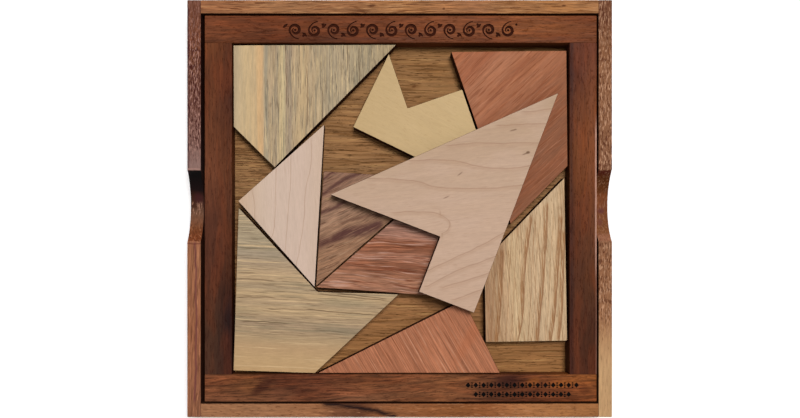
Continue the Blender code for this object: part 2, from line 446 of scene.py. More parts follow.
def case_right_wood():
    wood = Wood("case_right_wood", 88, 2.0, tilt=0.6, drift=0.9)
    wood.bands_along(
        (-92, (192, 152, 110)), (-70, (194, 154, 112)), (-58, (178, 136, 98)), (-47, (154, 108, 77)),
        (-20, (144, 99, 71)), (17, (129, 88, 66)), (30, (133, 91, 66)), (60, (142, 98, 70)),
        (80, (134, 90, 63)), (92, (118, 77, 56)))
    # the notch darkens towards its back end: painted shade of its steep back slope
    notch = wood.hollow(
        (-15.5, (142, 94, 71)), (-13, (146, 97, 73)), (-11, (122, 77, 50)), (-6, (116, 72, 46)),
        (0, (122, 72, 46)), (6, (122, 71, 45)), (9, (96, 57, 35)), (15, (82, 48, 28)),
        (17, (76, 36, 23)))
    top = wood.on_top()
    off_top = wood.span(top, 0.0, 1.0, 1.0, 0.0)
    off_notch = wood.span(notch, 0.0, 1.0, 1.0, 0.35)
    back = wood.product(wood.step(wood.along, -62, -40), off_notch, wood.on_top(0.35))
    wood.threads(2.6, 0.6, 0.51, (88, 46, 32), 0.8, soft=0.1, relief=1.0, within=back)
    wood.threads(2.6, 0.55, 0.53, (196, 150, 118), 0.75, soft=0.1, within=back)
    wood.threads(4.0, 0.5, 0.63, (120, 80, 56), 0.5, relief=1.0)
    wood.streaks(12, 0.9, 0.14)
    wood.patch((95.4, -0.5), (2.2, 2.0), 0, (96, 52, 52), 0.7)
    wood.patch((94.6, -6), (1.8, 2.6), 0, (112, 64, 60), 0.45)
    wood.line([(91, 17.4), (99, 17.4)], 0.9, (84, 44, 34), 0.75, within=top)
    wood.threads(16, 0.6, 0.6, (96, 56, 38), 0.6, relief=1.0, within=off_top)
    wood.shade_inner_face((-1, 0, 0))
    return wood.finish(depth=0.1, edge=0.15)


def case_back_wood():
    wood = Wood("case_back_wood", 0, 3.0, tilt=0.6, drift=0.8)
    wood.bands_along(
        (-90, (154, 102, 69)), (-55, (156, 109, 74)), (-20, (152, 104, 69)), (2, (164, 113, 71)),
        (15, (152, 104, 67)), (35, (157, 106, 71)), (48, (146, 99, 62)), (75, (161, 110, 68)),
        (90, (156, 107, 68)))
    wood.streaks(30, 1.1, 0.38)
    wood.streaks(9, 0.5, 0.34)
    wood.threads(10.0, 0.55, 0.57, (98, 54, 34), 0.7, relief=1.0)
    wood.threads(14.0, 0.7, 0.58, (202, 150, 104), 0.5)
    for x, y, size in ((-13, 94.4, 2.4), (20.5, 92.6, 1.0), (76, 94.0, 1.3)):
        wood.patch((x, y), (size, 0.8), 0, (84, 46, 30), 0.75)
    wood.shade_inner_face((0, -1, 0))
    return wood.finish(depth=0.08, edge=0.15)


def case_front_wood():
    wood = Wood("case_front_wood", 0, 4.0, tilt=0.6, drift=1.0)
    wood.bands_along(
        (-90, (160, 112, 80)), (-62, (156, 110, 78)), (-38, (155, 105, 72)), (-30, (124, 82, 58)),
        (-18, (104, 66, 48)), (-7, (146, 94, 62)), (16, (141, 89, 56)), (28, (134, 84, 51)),
        (40, (148, 92, 57)), (58, (170, 114, 73)), (72, (162, 109, 69)), (92, (158, 106, 66)))
    wood.streaks(20, 1.2, 0.2)
    wood.streaks(5, 0.6, 0.16)
    wood.threads(3.0, 0.6, 0.59, (104, 60, 38), 0.55, relief=1.0)
    wood.threads(5.0, 0.7, 0.6, (196, 140, 100), 0.4)
    swirl = wood.product(wood.on_top(), wood.step(wood.fibres(6.0, 0.7), 0.3, 0.5))
    points = [(-34, -90.6), (-24, -91.4), (-14, -93.4), (-3, -95.8)]
    wood.line(points, 4.0, (40, 25, 22), 0.95, within=swirl)
    wood.shade_inner_face((0, 1, 0))
    return wood.finish(depth=0.08, edge=0.15)


def case_panel_wood():
    """Thin plywood: a pale face veneer, and its plies on the cut edges."""
    wood = Wood("case_panel_wood", 0, 5.0, drift=3.0, drift_length=70)
    wood.plain((182, 150, 112))
    wood.cloud(24, (166, 130, 92), 0.5, stretch=4)
    wood.streaks(70, 2.2, 0.08)
    wood.threads(30, 0.6, 0.62, (140, 104, 70), 0.4, relief=1.0)
    side = wood.step(wood.math("ABSOLUTE", wood.up), 0.6, 0.3)
    ply = wood.math("PINGPONG", wood.height, PLY)
    wood.stain(wood.product(side, wood.step(ply, 0.62, 0.5)), (120, 84, 54), 0.8)
    return wood.finish(roughness=0.6, edge=0.05)


# ---------- woods of the tray

def floor_oak():
    wood = Wood("tray_base_oak", 0, 6.0, tilt=0.5, drift=1.1, drift_length=60, level=9.8)
    wood.bands_across(
        (-78, (158, 111, 69)), (-35, (154, 109, 72)), (0, (151, 112, 76)), (18, (155, 115, 78)),
        (30, (158, 116, 77)), (55, (152, 111, 72)), (78, (146, 106, 68)))
    wood.cloud(7, (128, 88, 54), 0.35, stretch=6)
    wood.streaks(40, 1.1, 0.24, relief=0.5)
    wood.streaks(14, 0.6, 0.14)
    wood.threads(30, 0.8, 0.57, (104, 68, 38), 0.58, relief=1.0)
    wood.threads(24, 0.8, 0.6, (190, 146, 94), 0.5)
    wood.threads(5, 0.4, 0.62, (92, 58, 32), 0.5, relief=1.5)
    left = wood.step(wood.along, -40, -52)
    wood.threads(9, 0.5, 0.55, (84, 54, 32), 0.6, relief=1.0, within=left)
    wood.threads(12, 0.6, 0.56, (192, 150, 100), 0.45, within=left)
    wood.patch((-76, -2), (8, 60), 0, (122, 88, 60), 0.2)
    wood.patch((6.8, 59.0), (1.5, 1.0), 0, (84, 46, 26), 0.85)
    wood.patch((6.8, 59.0), (5.0, 2.2), 0, (120, 80, 46), 0.45)
    return wood.finish(roughness=0.6, depth=0.14, edge=0.1)


def rail_grain(wood, streak):
    """What the four dark rails have in common: soft streaks, some short dark pores and a little red."""
    wood.cloud(5, (130, 64, 38), 0.2, stretch=5)
    wood.streaks(26, 1.6, streak * 0.7)
    wood.streaks(9, 0.7, streak * 1.2)
    wood.threads(3.0, 0.5, 0.59, (62, 31, 22), 0.35, relief=1.2)


def back_rail_wood():
    wood = Wood("back_rail_wood", 0, 7.0, tilt=0.5)
    inner = [
        (-85, (106, 62, 42)), (-55, (87, 49, 34)), (-30, (90, 52, 36)), (0, (98, 57, 39)),
        (40, (108, 63, 41)), (85, (112, 66, 44))]
    outer = [
        (-88, (116, 68, 46)), (-60, (108, 61, 40)), (-10, (112, 63, 40)), (20, (124, 72, 46)),
        (65, (132, 78, 47)), (88, (112, 65, 42))]
    wood.edge_bands(77.5, inner, 84, outer)
    rail_grain(wood, 0.3)
    return wood.finish(depth=0.08)


def front_rail_wood():
    wood = Wood("front_rail_wood", 2, 8.0, tilt=0.5, drift=1.2)
    outer = [
        (-88, (127, 81, 58)), (-73, (122, 79, 56)), (-58, (104, 67, 49)), (-46, (104, 67, 49)),
        (-28, (122, 80, 58)), (-17, (130, 85, 60)), (5, (121, 77, 52)), (17, (131, 84, 56)),
        (30, (108, 68, 47)), (42, (86, 53, 39)), (58, (100, 57, 39)), (72, (110, 64, 42)),
        (88, (122, 72, 44))]
    inner = [
        (-88, (120, 75, 52)), (-72, (107, 68, 45)), (-60, (94, 58, 43)), (-40, (98, 59, 43)),
        (-18, (112, 69, 46)), (6, (122, 77, 52)), (22, (126, 80, 52)), (39, (104, 64, 44)),
        (50, (80, 46, 34)), (60, (104, 60, 40)), (72, (130, 78, 46)), (88, (142, 84, 46))]
    wood.edge_bands(-88, outer, -79, inner)
    rail_grain(wood, 0.46)
    wood.patch((50, -80), (8, 3.2), 0, (50, 26, 30), 0.6)
    wood.patch((62, -80.5), (5, 3.0), 20, (172, 100, 48), 0.35)
    wood.patch((76, -81), (10, 2.6), 8, (172, 100, 48), 0.45)
    wood.patch((-64.5, -83.5), (9, 3.0), 38, (62, 36, 32), 0.6)
    wood.patch((-47, -85), (10, 2.0), -20, (72, 42, 34), 0.35)
    wood.patch((86, -84), (4, 3.0), 0, (84, 44, 28), 0.45)
    return wood.finish(depth=0.08)


def left_rail_wood():
    wood = Wood("left_rail_wood", 90, 9.0, tilt=0.5)
    inner = [
        (-78, (50, 37, 35)), (-50, (50, 36, 35)), (-39, (60, 38, 32)), (-27, (76, 46, 34)),
        (6, (94, 56, 40)), (18, (101, 60, 41)), (30, (90, 53, 37)), (50, (80, 47, 36)),
        (77, (86, 50, 35))]
    outer = [
        (-78, (76, 52, 42)), (-50, (77, 52, 41)), (-28, (87, 53, 41)), (-5, (91, 55, 42)),
        (17, (110, 66, 47)), (35, (104, 62, 43)), (62, (100, 59, 41)), (77, (108, 64, 42))]
    wood.edge_bands(79, inner, 88, outer)
    rail_grain(wood, 0.2)
    return wood.finish(depth=0.08, edge=0.2)


def right_rail_wood():
    wood = Wood("right_rail_wood", 90, 10.0, tilt=0.5, wobble=0.2)
    outer = [
        (-78, (74, 45, 35)), (-50, (77, 48, 36)), (-39, (87, 54, 38)), (-16, (99, 59, 40)),
        (6, (107, 62, 40)), (28, (128, 74, 46)), (50, (117, 68, 44)), (77, (108, 62, 46))]
    inner = [
        (-78, (80, 48, 37)), (-38, (85, 51, 37)), (-5, (93, 53, 36)), (17, (111, 64, 39)),
        (28, (114, 66, 40)), (50, (104, 59, 39)), (62, (88, 50, 38)), (77, (97, 56, 42))]
    wood.edge_bands(-90, outer, -81, inner)
    rail_grain(wood, 0.15)
    # painted shade: a dark soft band along the rail's inner edge, towards the pocket
    wood.line([(79.8, -76), (79.9, 0), (79.8, 76)], 4.0, (50, 34, 34), 0.55)
    # painted highlight: a bright line along the rail's rounded outer edge, and a fainter one carrying it on
    # towards the front
    wood.line([(91.5, 32), (91.45, 8), (91.45, -4), (91.5, -22)], 1.8, (214, 168, 148), 0.95, fade=14)
    wood.line([(91.55, 32), (91.5, -22), (91.5, -76)], 1.2, (170, 120, 102), 0.5)
    return wood.finish(depth=0.08, edge=0.2)


# ---------- woods of the tiles

def spalted_back_wood():
    wood = Wood("spalted_back_wood", -90, 11.0, drift=0.4, drift_length=60, wobble=0.6)
    wood.bands_across(
        (-78, (182, 160, 128)), (-75.5, (196, 172, 136)), (-72, (204, 176, 134)),
        (-67.5, (204, 174, 132)), (-66, (210, 172, 126)), (-64.0, (206, 168, 124)),
        (-63.0, (170, 154, 128)), (-62.0, (156, 144, 122)), (-61, (182, 158, 126)),
        (-58.5, (180, 154, 122)), (-57.4, (168, 148, 122)), (-56, (194, 170, 130)),
        (-54.2, (194, 174, 134)), (-53, (170, 148, 122)), (-51.4, (160, 140, 118)),
        (-49.6, (186, 160, 126)), (-45, (194, 166, 126)), (-42.4, (184, 158, 124)),
        (-38, (186, 162, 128)), (-33, (174, 155, 126)), (-26, (178, 157, 126)), (-20, (166, 149, 120)),
        (-6, (170, 149, 116)))
    wood.cloud(1.6, (168, 150, 122), 0.35, stretch=14)
    grey = wood.step(wood.across, -64.5, -62)
    wood.threads(18, 0.7, 0.51, (138, 128, 108), 0.6, soft=0.12, within=grey)
    wood.threads(14, 0.65, 0.55, (216, 188, 142), 0.55, soft=0.12, within=grey)
    wood.threads(8, 0.5, 0.59, (106, 88, 72), 0.65, relief=1.0, within=grey)
    wood.threads(6, 0.6, 0.57, (116, 104, 86), 0.6, within=wood.step(wood.across, -42, -25))
    wood.streaks(20, 0.45, 0.22, within=grey)
    wood.line([(-53.2, 76), (-52.9, 60), (-52.8, 50)], 0.8, (96, 72, 58), 0.75)
    wood.line([(-43.2, 64), (-43.0, 52), (-43.3, 40)], 0.7, (112, 84, 62), 0.7)
    wood.line([(-36.2, 54), (-36.0, 47), (-36.1, 40)], 0.7, (100, 80, 62), 0.75)
    wood.line([(-24.4, 76), (-24.2, 70), (-24.3, 66)], 0.7, (104, 84, 66), 0.7)
    wood.line([(-18.9, 74), (-18.7, 66), (-18.8, 60)], 0.8, (104, 84, 66), 0.75)
    return wood.finish(depth=0.05, fine=0.09)


def spalted_front_wood():
    wood = Wood("spalted_front_wood", -3, 12.0, drift=0.6, drift_length=60, wobble=0.8)
    wood.bands_across(
        (-79, (193, 158, 115)), (-73, (191, 158, 117)), (-68, (186, 153, 115)), (-64, (178, 150, 115)),
        (-58, (163, 139, 112)), (-55, (168, 143, 114)), (-51, (188, 159, 122)), (-47, (175, 149, 118)),
        (-43, (188, 159, 122)), (-40, (168, 145, 116)), (-35, (186, 157, 122)), (-30, (176, 151, 122)),
        (-25, (163, 145, 122)), (-19, (169, 151, 124)), (-8, (175, 155, 126)), (0, (178, 155, 124)))
    figured = wood.step(wood.across, -66, -60)
    wood.threads(30, 1.0, 0.52, (144, 130, 104), 0.5, soft=0.12, within=figured)
    wood.threads(30, 0.9, 0.56, (216, 184, 142), 0.55)
    wood.threads(16, 0.5, 0.59, (108, 88, 68), 0.65, relief=1.0, within=figured)
    wood.streaks(12, 0.45, 0.2, within=figured)
    for points in (
            [(-40, -38.2), (-26, -39.6), (-8, -41.8)], [(-36, -39.8), (-22, -41.2), (-8, -42.6)],
            [(-74, -41.4), (-66, -41.0), (-60, -41.6)], [(-74, -32.6), (-66, -33.0), (-60, -33.6)],
            [(-42, -47.0), (-28, -48.2), (-12, -49.6)], [(-38, -56.4), (-28, -57.6), (-18, -58.0)],
            [(-72, -52.4), (-62, -52.8), (-54, -53.8)]):
        wood.line(points, 0.8, (92, 70, 52), 0.7)
    wood.patch((-25, -44), (18, 3), -4, (150, 136, 108), 0.5)
    wood.patch((-25, -57), (20, 2.2), -4, (146, 132, 108), 0.5)
    return wood.finish(depth=0.05)


def maple_triangle_wood():
    wood = Wood("maple_triangle_wood", -88, 13.0, drift=0.6, wobble=0.5)
    wood.bands_across(
        (-78, (206, 172, 142)), (-71, (204, 176, 152)), (-64, (206, 181, 161)), (-58, (208, 183, 165)),
        (-45, (207, 181, 163)), (-34, (204, 177, 155)))
    wood.streaks(40, 2.0, 0.03)
    wood.threads(14, 0.5, 0.6, (182, 148, 128), 0.3)
    for points in (
            [(-68.8, 8), (-67.7, 3), (-67.8, -3), (-67.6, -6)],
            [(-57.7, 18), (-58.0, 7), (-58.9, -10), (-60.6, -15)],
            [(-50.7, 24.5), (-51.3, 7), (-52.4, -8), (-53.4, -19)],
            [(-41.1, 31), (-41.4, 21), (-43.8, 9), (-44.5, -3), (-48.3, -27)]):
        wood.line(points, 0.7, (164, 126, 102), 0.42)
    return wood.finish(depth=0.035, fine=0.04)


def ash_wood():
    wood = Wood("ash_wood", -86, 14.0, tilt=0.3, drift=0.3, wobble=0.4)
    wood.bands_across(
        (38, (166, 128, 96)), (42, (182, 148, 114)), (47, (190, 156, 121)), (51, (202, 171, 132)),
        (60, (200, 169, 134)), (68, (204, 174, 138)), (74, (198, 167, 131)), (80, (180, 146, 109)))
    wood.streaks(22, 0.6, 0.2, relief=0.6)
    wood.threads(20, 0.65, 0.57, (160, 120, 84), 0.6, relief=0.6)
    wood.threads(6, 0.4, 0.6, (146, 104, 68), 0.5, relief=1.0)
    wood.threads(26, 0.7, 0.59, (220, 192, 154), 0.5)
    bands = (
        [(45.8, -61), (47.1, -46), (48.2, -21)], [(55.4, -61), (57.5, -49), (58.3, -32), (61.6, -5)],
        [(64.6, -61), (66.0, -46), (67.7, -27), (69.1, 1)],
        [(70.8, -61), (72.5, -49), (74.2, -25), (76, -5)],
        [(74.5, -60), (75.9, -46), (76.6, -25), (77.2, -12)])
    rough = wood.step(wood.fibres(12.0, 0.45, 3.0, 0.7), 0.36, 0.6)
    for points in bands:
        early = wood.line_mask([(x - 0.8, y) for x, y in points], 3.2, 3.0)
        wood.stain(wood.product(early, rough), (154, 107, 68), 0.95)
        wood.line(points, 1.2, (140, 94, 60), 0.75)
    for x in (50.6, 53.0, 61.0, 63.0, 69.4, 72.2):
        wood.line([(x - 1.2, -61), (x, -46), (x + 1.0, -24), (x + 2.6, -4)], 0.6, (166, 124, 86), 0.6)
    wood.line([(42.6, -61), (43.6, -44), (44.6, -28)], 1.4, (154, 112, 78), 0.6)
    wood.patch((47, -22), (3.0, 12), -6, (148, 108, 78), 0.5)
    wood.patch((55, -6), (3.0, 9), -8, (172, 132, 98), 0.5)
    return wood.finish(depth=0.07, fine=0.1)


def salmon_wedge_wood():
    wood = Wood("salmon_wedge_wood", 43, 15.0, tilt=0.4, drift=1.2, drift_length=55)
    wood.bands_across(
        (-52, (152, 103, 78)), (-44, (144, 95, 70)), (-36, (136, 88, 64)), (-10, (146, 94, 68)),
        (-2, (154, 98, 70)), (6, (166, 107, 77)), (18, (168, 111, 82)), (24, (159, 98, 70)),
        (30, (169, 108, 78)), (36, (170, 106, 74)), (42, (168, 98, 64)))
    wood.cloud(6, (146, 86, 58), 0.4, stretch=5)
    wood.streaks(20, 1.1, 0.16)
    wood.threads(14, 0.8, 0.57, (132, 74, 48), 0.55, relief=0.6)
    wood.threads(20, 0.7, 0.6, (190, 134, 104), 0.3)
    wood.line([(35, 43), (48, 56), (60, 70)], 2.6, (138, 80, 56), 0.5)
    wood.line([(46, 22), (58, 34), (72, 46)], 2.2, (140, 82, 58), 0.45)
    return wood.finish(fine=0.1)


def salmon_triangle_wood():
    wood = Wood("salmon_triangle_wood", -60, 16.0, tilt=0.4, drift=0.4, drift_length=80)
    wood.plain((171, 111, 82))
    wood.streaks(50, 0.5, 0.42, detail=2.0, relief=0.5)
    wood.streaks(30, 2.4, 0.08)
    wood.threads(36, 0.6, 0.58, (136, 78, 52), 0.6, relief=0.6)
    wood.threads(30, 0.7, 0.6, (202, 148, 118), 0.55)
    wood.patch((34, -58), (4, 24), -30, (178, 104, 70), 0.35)
    return wood.finish(fine=0.12)


def cream_wood():
    wood = Wood("cream_wood", -26, 17.0, drift=0.8)
    wood.bands_along((-42, (195, 166, 122)), (-10, (200, 171, 127)), (35, (203, 174, 128)))
    wood.cloud(10, (194, 165, 121), 0.4)
    wood.streaks(20, 1.2, 0.025)
    wood.threads(2.4, 0.4, 0.6, (180, 148, 104), 0.4, relief=0.5)
    return wood.finish(depth=0.03, fine=0.03)


def arrowhead_wood():
    wood = Wood("arrowhead_wood", 6, 18.0, drift=0.6, wobble=0.7, level=23.0)
    wood.bands_across(
        (-50, (197, 165, 142)), (-10, (196, 165, 142)), (10, (191, 161, 137)), (30, (186, 156, 130)),
        (50, (182, 152, 126)))
    wood.cloud(12, (198, 168, 147), 0.4)
    wood.streaks(18, 1.2, 0.035)
    wood.threads(5, 0.45, 0.61, (174, 140, 115), 0.35)
    for points in (
            [(57.4, 43.9), (68.4, 45.1)], [(45.6, 37.5), (56, 38.2), (66.1, 38.5)],
            [(22.8, 28.4), (33.2, 29.5), (46.6, 29.5), (62.1, 29.8)],
            [(5.7, 21.4), (18.4, 21.9), (26.5, 21.1), (37.2, 18.8), (46.6, 17.9), (59, 19.4)],
            [(-13.7, 13.7), (-0.4, 13), (6.4, 12.3), (15.7, 9.8), (26.5, 8.9), (38, 8.7), (56, 10.7)],
            [(-2.4, -2), (8, -1.8), (14.4, -2), (18.6, -3.1)],
            [(18.4, -3.0), (21.4, -5), (22.5, -7), (21.8, -9.7), (19.1, -11.7)],
            [(13.1, -28.5), (23.8, -23.5), (37.2, -17.1), (47.6, -11.1)],
            [(12.4, -35.9), (19.8, -31.9), (32, -26.5), (44, -22.1)],
            [(19.8, -36.2), (33.2, -32.2), (41.3, -29.5)], [(25.1, -41.9), (38.5, -36.9)]):
        wood.line(points, 0.9, (152, 114, 90), 0.5)
        wood.line([(x, y - 0.9) for x, y in points], 2.6, (178, 144, 119), 0.35)
    for centre, radii, turn, strength in (
            ((51.6, 35.4), (2.2, 0.55), 15, 0.6), ((58.4, 25.2), (1.2, 0.8), 15, 0.9),
            ((57.2, 24.6), (2.0, 0.5), 20, 0.6), ((27.4, 15.6), (2.2, 0.5), 35, 0.55),
            ((21.3, 4.7), (2.2, 0.4), 25, 0.6), ((52.8, 35.9), (1.0, 0.5), 10, 0.5)):
        wood.patch(centre, radii, turn, (112, 84, 66), strength)
    return wood.finish(depth=0.035, fine=0.05)


def walnut_wood():
    wood = Wood("walnut_wood", 26, 19.0, drift=1.2, drift_length=35, wobble=1.4)
    wood.bands_across(
        (-40, (148, 108, 84)), (-20, (142, 104, 80)), (-4, (152, 114, 88)), (12, (150, 116, 94)),
        (24, (142, 106, 86)))
    wood.streaks(12, 1.6, 0.14)
    wood.streaks(7, 0.5, 0.42)
    wood.threads(8, 0.6, 0.58, (98, 66, 52), 0.65, relief=0.6)
    wood.threads(10, 0.6, 0.59, (182, 146, 118), 0.5)
    ragged = wood.span(wood.fibres(7.0, 0.6), 0.33, 0.5, 0.35, 1.0)
    for points, width in (
            ([(-36, 13.2), (-31.2, 17)], 2.4), ([(-35.9, 7), (-31, 10.4), (-25, 14.2), (-18, 17)], 4.0),
            ([(-36.3, -1.9), (-31, 0.2), (-26.4, 3.2)], 4.2), ([(-30, 5), (-20, 10), (-10, 11)], 2.4),
            ([(-37, -16.6), (-31.5, -14.4), (-26.7, -12.4), (-18.6, -11.0), (-9.1, -7)], 8.0),
            ([(-30, -13.6), (-24, -10.6), (-18, -9.4), (-11, -7.4)], 6.5)):
        wood.line(points, width, (88, 56, 52), 0.85, within=ragged)
    wood.line([(-26, -6.5), (-16, -3.5), (-8, -2.5)], 3.0, (104, 70, 58), 0.55)
    wood.line([(-34, 4.4), (-28, 6.4), (-20, 10.4), (-14, 12.6)], 2.2, (166, 132, 96), 0.6)
    return wood.finish(depth=0.07, fine=0.12)


def red_wood():
    wood = Wood("red_wood", -4, 20.0, tilt=0.4, drift=1.2, drift_length=32, wobble=1.6)
    wood.bands_across(
        (-41, (158, 111, 88)), (-33, (158, 111, 86)), (-29, (146, 97, 74)), (-26, (144, 92, 68)),
        (-23, (164, 116, 94)), (-20, (146, 94, 70)), (-16, (140, 88, 64)), (-13, (160, 115, 96)),
        (-7, (160, 119, 102)), (10, (152, 115, 100)))
    wood.streaks(26, 1.1, 0.4)
    wood.streaks(14, 0.5, 0.4)
    wood.threads(18, 0.7, 0.57, (112, 56, 36), 0.75, relief=0.6)
    wood.threads(20, 0.8, 0.57, (202, 158, 138), 0.6)
    return wood.finish(depth=0.07, fine=0.14)


# ---------- other materials

def charred_side():
    """The side of a laser-cut tile: scorched dark brown, with fine upright ridges."""
    width, height = RIDGE_SIZE
    wood = Wood("charred_side", 0, 21.0)
    wood.plain((62, 37, 20))
    ridges = wood.noise(wood.vector("MULTIPLY", wood.place, (1 / width, 1 / width, 1 / height)), 3.0)
    wood.stain(wood.step(ridges, 0.52, 0.68), (106, 67, 38), 0.6)
    wood.stain(wood.step(ridges, 0.46, 0.34), (30, 16, 8), 0.8)
    wood.raise_by(ridges, 1.0)
    return wood.finish(roughness=0.75, depth=0.12, edge=0.0, fine=0)


def burnt(name, colour):
    """The floor and sides of an engraved mark."""
    wood = Wood(name, 0, 22.0)
    wood.plain(colour)
    wood.streaks(2.0, 0.8, 0.3, relief=1.0)
    return wood.finish(roughness=0.85, depth=0.08, edge=0.0)


def studio_floor():
    graph = Graph("studio_floor")
    place = graph.node("TexCoord", {}).outputs["Object"]
    mottle = graph.noise(graph.scaled(place, 9.0), 4.0)
    white = graph.mix(graph.span(mottle, *NOISE_SPAN), (0.82, 0.82, 0.82, 1), (0.85, 0.85, 0.85, 1))
    graph.put(white, graph.shader.inputs["Base Color"])
    graph.put(FLOOR_GLOW, graph.shader.inputs["Emission Strength"])
    graph.put(graph.span(mottle, *NOISE_SPAN, 0.75, 0.85), graph.shader.inputs["Roughness"])
    return graph.material


# ---------- engraved ornament

def ribbon(path, widths):
    """The outline of a stroke along a path, as wide at each point as widths says."""
    left, right = [], []
    for index, point in enumerate(path):
        ahead = path[min(index + 1, len(path) - 1)] - path[max(index - 1, 0)]
        side = Vector((-ahead.y, ahead.x)).normalized() * widths[index] / 2
        left.append(point + side)
        right.append(point - side)
    return left + right[::-1]


def oval(centre, radii, corners=20):
    angles = [2 * math.pi * index / corners for index in range(corners)]
    return [centre + Vector((radii[0] * math.cos(a), radii[1] * math.sin(a))) for a in angles]


def leaf(centre, turn, corners=16):
    """An almond shape with two points."""
    length, width = LEAF
    spin = Matrix.Rotation(math.radians(turn), 2)
    outline = []
    for index in range(corners):
        share = index / corners
        side = 1 if share < 0.5 else -1
        run = (share % 0.5) * 2
        corner = Vector((side * (run - 0.5) * -length, side * width / 2 * math.sin(math.pi * run)))
        outline.append(centre + spin @ corner)
    return outline


def scroll(centre, flip):
    """A stroke that curls in like a wave, thick in its middle, with a ball in its eye."""
    thin, swell = STROKE
    path, widths = [], []
    for index in range(SCROLL_STEPS):
        share = index / (SCROLL_STEPS - 1)
        t = (1 + SCROLL_TAIL) * share - SCROLL_TAIL
        growth = SCROLL_FLARE * t * t if t < 0 else -SCROLL_CURL * t
        radius = SCROLL_RADIUS * (1 + growth)
        angle = math.radians(SCROLL_START - SCROLL_TURN * t)
        path.append(centre + Vector((radius * math.cos(angle), flip * radius * math.sin(angle))))
        widths.append(thin + swell * math.sin(math.pi * share) ** 1.5)
    return [ribbon(path, widths), oval(centre, DOT)]


def scroll_band(centre):
    """A running band of scrolls, turned up and down in turn, with leaves and dots between them."""
    shapes = []
    first = centre.x - SCROLL_PITCH * (SCROLL_COUNT - 1) / 2
    for index in range(SCROLL_COUNT):
        flip = 1 if index % 2 == 0 else -1
        middle = Vector((first + index * SCROLL_PITCH, centre.y))
        eye, almond, dot = (middle + Vector((x, y * flip)) for x, y in SCROLL_PLACES)
        shapes += scroll(eye, flip)
        shapes.append(leaf(almond, LEAF_TURN * flip))
        shapes.append(oval(dot, DOT))
    return shapes


def mark_row(centre, count):
    """A row of small lozenges with three dots between each two."""
    shapes = []
    for index in range(count):
        middle = centre + Vector(((index - (count - 1) / 2) * MARK_PITCH, 0))
        shapes.append(oval(middle, LOZENGE, corners=4))
        if index < count - 1:
            between = middle + Vector((MARK_PITCH / 2, 0))
            shapes += [oval(between + Vector((0, side * MARK_DOT_STEP)), MARK_DOT) for side in (-1, 0, 1)]
    return shapes


def carve(piece, shapes, material):
    """Cut flat shapes into the top of a piece, and give the cut faces a material."""
    top = max(vertex.co.z for vertex in piece.data.vertices)
    bottom = top - ENGRAVING_DEPTH * MM
    bm = bmesh.new()
    for shape in shapes:
        low = [bm.verts.new((point.x * MM, point.y * MM, bottom)) for point in shape]
        high = [bm.verts.new((point.x * MM, point.y * MM, top + MM)) for point in shape]
        bm.faces.new(low)
        bm.faces.new(high)
        for index in range(len(shape)):
            after = (index + 1) % len(shape)
            bm.faces.new((low[index], low[after], high[after], high[index]))
    bmesh.ops.recalc_face_normals(bm, faces=bm.faces)
    cutter_mesh = bpy.data.meshes.new("engraving")
    bm.to_mesh(cutter_mesh)
    bm.free()
    cutter_mesh.materials.append(material)
    cutter = bpy.data.objects.new("engraving", cutter_mesh)
    bpy.context.scene.collection.objects.link(cutter)
    boolean = piece.modifiers.new("engraving", "BOOLEAN")
    boolean.operation = "DIFFERENCE"
    boolean.material_mode = "TRANSFER"
    boolean.use_self = True
    boolean.object = cutter
    evaluated = piece.evaluated_get(bpy.context.evaluated_depsgraph_get())
    mesh = bpy.data.meshes.new_from_object(evaluated)
    piece.modifiers.clear()
    piece.data = mesh
    bpy.data.objects.remove(cutter)


# ---------- pieces

def piece_from(node, name):
    """A new piece with the shape of a CAD node, welded and freed of its triangulation."""
    source = frame["nodes"][node].data
    bm = bmesh.new()
    corners = [bm.verts.new(vertex.co) for vertex in source.vertices]
    for polygon in source.polygons:
        bm.faces.new([corners[index] for index in polygon.vertices])
    bmesh.ops.remove_doubles(bm, verts=bm.verts, dist=WELD)
    bmesh.ops.dissolve_limit(bm, angle_limit=FLAT_ANGLE, verts=bm.verts, edges=bm.edges)
    mesh = bpy.data.meshes.new(name)
    bm.to_mesh(mesh)
    bm.free()
    piece = bpy.data.objects.new(name, mesh)
    bpy.context.scene.collection.objects.link(piece)
    return piece


def add_surface(piece):
    """Divide a piece into a grid and give it the small unevenness of planed and sanded wood."""
    bm = bmesh.new()
    bm.from_mesh(piece.data)
    low = Vector(map(min, *(vertex.co for vertex in bm.verts)))
    high = Vector(map(max, *(vertex.co for vertex in bm.verts)))
    for axis in (0, 1):
        direction = Vector((1 - axis, axis, 0))
        count = int((high[axis] - low[axis]) / GRID)
        for index in range(1, count + 1):
            place = direction * (low[axis] + (high[axis] - low[axis]) * index / (count + 1))
            everything = [*bm.verts, *bm.edges, *bm.faces]
            bmesh.ops.bisect_plane(bm, geom=everything, plane_co=place, plane_no=direction, dist=SNAP)
    for vertex in bm.verts:
        place = vertex.co.copy()
        for length, height in (PLANING, SANDING):
            vertex.co += noise.noise_vector(place / length) * height
    bm.to_mesh(piece.data)
    bm.free()


def close_joints(piece, axis):
    """Square off the two ends of a rail or wall and bring them up to its neighbours, as glue does."""
    ends = [vertex.co[axis] for vertex in piece.data.vertices]
    low, high = min(ends), max(ends)
    for vertex in piece.data.vertices:
        if vertex.co[axis] < low + EASED * MM:
            vertex.co[axis] = low - GLUE_GAP * MM
        elif vertex.co[axis] > high - EASED * MM:
            vertex.co[axis] = high + GLUE_GAP * MM


